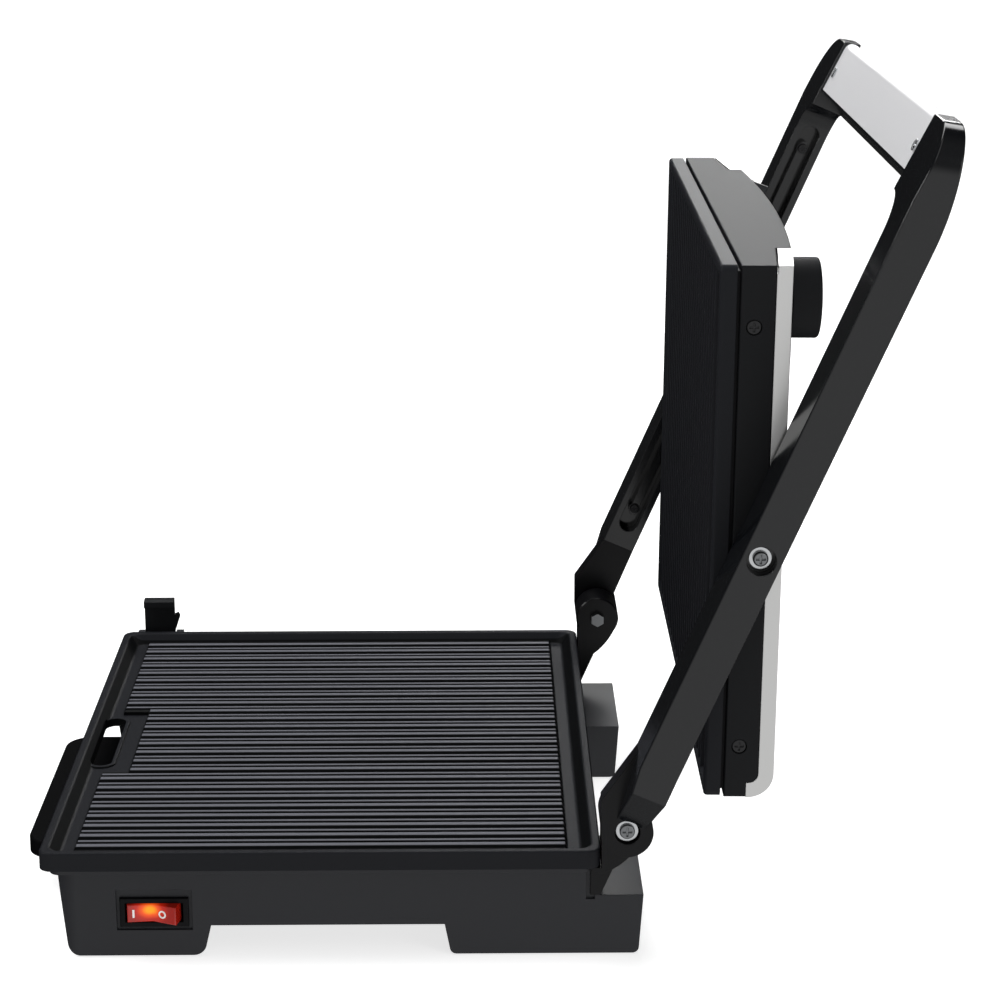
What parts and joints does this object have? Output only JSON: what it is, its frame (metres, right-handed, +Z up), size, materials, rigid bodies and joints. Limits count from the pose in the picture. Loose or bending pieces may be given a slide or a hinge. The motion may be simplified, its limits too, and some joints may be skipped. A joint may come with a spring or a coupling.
{
  "type": "panini press",
  "caption": "Open table-top contact grill with two ribbed plates, a floating steel lid on a bail handle, rocker switch, heat dial, drip tray and storage latch.",
  "frame": {"origin": "on the table, in the middle of the four rubber feet", "axes": "+X to the user's right, +Y to the back where the hinge is, +Z up"},
  "size_m": [0.36, 0.4151, 0.3823],
  "materials": {
    "black_housing": "fine matte",
    "gloss_black": "gloss",
    "knob_black": "satin",
    "cooking_coating": "dark non-stick coating",
    "brushed_steel": "brushed satin",
    "zinc_steel": "zinc plated",
    "element_steel": "heat-darkened",
    "arm_bars": "bare steel",
    "bracket_metal": "satin paint",
    "spacer_nylon": "plain",
    "foot_rubber": "matte",
    "switch_red": "translucent red",
    "amber_lens": "translucent",
    "green_lens": "translucent",
    "terminal_plastic": "plain"
  },
  "bodies": {
    "base": {"base_housing": "black_housing", "lower_plate": "cooking_coating", "plate_screws": "zinc_steel", "lower_element": "element_steel", "lower_heat_shield": "zinc_steel", "service_cover": "black_housing", "service_cover_screws": "zinc_steel", "rubber_feet": "foot_rubber", "cord_gland": "foot_rubber", "terminal_block": "terminal_plastic", "switch_case": "black_housing", "hinge_bracket_right": "bracket_metal", "hinge_bracket_left": "bracket_metal", "hinge_bracket_screws": "zinc_steel", "hinge_screws": "zinc_steel", "hinge_washers": "zinc_steel", "hinge_spacers": "spacer_nylon", "latch_bracket": "black_housing", "latch_bracket_screws": "zinc_steel", "latch_pin": "zinc_steel"},
    "handle": {"arm_right": "gloss_black", "arm_left": "gloss_black", "arm_stiffeners": "arm_bars", "stiffener_screws": "zinc_steel", "grip_core": "gloss_black", "grip_sleeve": "brushed_steel", "grip_screws": "zinc_steel", "latch_keeper": "black_housing"},
    "lid": {"tilt_screws": "zinc_steel", "tilt_washers": "zinc_steel", "tilt_spacers": "spacer_nylon", "lid_plate": "cooking_coating", "lid_plate_screws": "zinc_steel", "lid_element": "element_steel", "lid_heat_shield": "zinc_steel", "lid_housing": "black_housing", "lid_side_screws": "zinc_steel", "lid_cover": "brushed_steel", "dial_pad": "black_housing", "power_lens": "amber_lens", "ready_lens": "green_lens", "thermostat": "terminal_plastic"},
    "knob": {"knob": "knob_black"},
    "rocker": {"switch_rocker": "switch_red"},
    "tray": {"drip_tray": "black_housing"},
    "latch": {"latch": "black_housing"}
  },
  "joints": [
    {"name": "lid_hinge", "type": "hinge", "parent": "base", "child": "handle", "pos_m": [0, 0.1219, 0.0697], "axis": [1, 0, 0], "range_deg": [0, 110]},
    {"name": "lid_tilt", "type": "hinge", "parent": "handle", "child": "lid", "pos_m": [0, 0.1756, 0.19923], "axis": [1, 0, 0], "range_deg": [-19.51, 0]},
    {"name": "knob_turn", "type": "hinge", "parent": "lid", "child": "knob", "pos_m": [0, 0.15803, 0.27539], "axis": [0, -0.9999, 0.0105], "range_deg": [0, 270]},
    {"name": "rocker_press", "type": "hinge", "parent": "base", "child": "rocker", "pos_m": [0.136, -0.0898, 0.0219], "axis": [0, 0, 1], "range_deg": [0, 18]},
    {"name": "tray_slide", "type": "slide", "parent": "base", "child": "tray", "axis": [0, -1, 0], "range_m": [0, 0.07]},
    {"name": "latch_swing", "type": "hinge", "parent": "base", "child": "latch", "pos_m": [-0.1638, -0.12075, 0.0474], "axis": [0, 1, 0], "range_deg": [0, 8]}
  ],
  "couplings": [
    {"joint": "lid_tilt", "follows": "lid_hinge", "ratio": -0.17694}
  ]
}
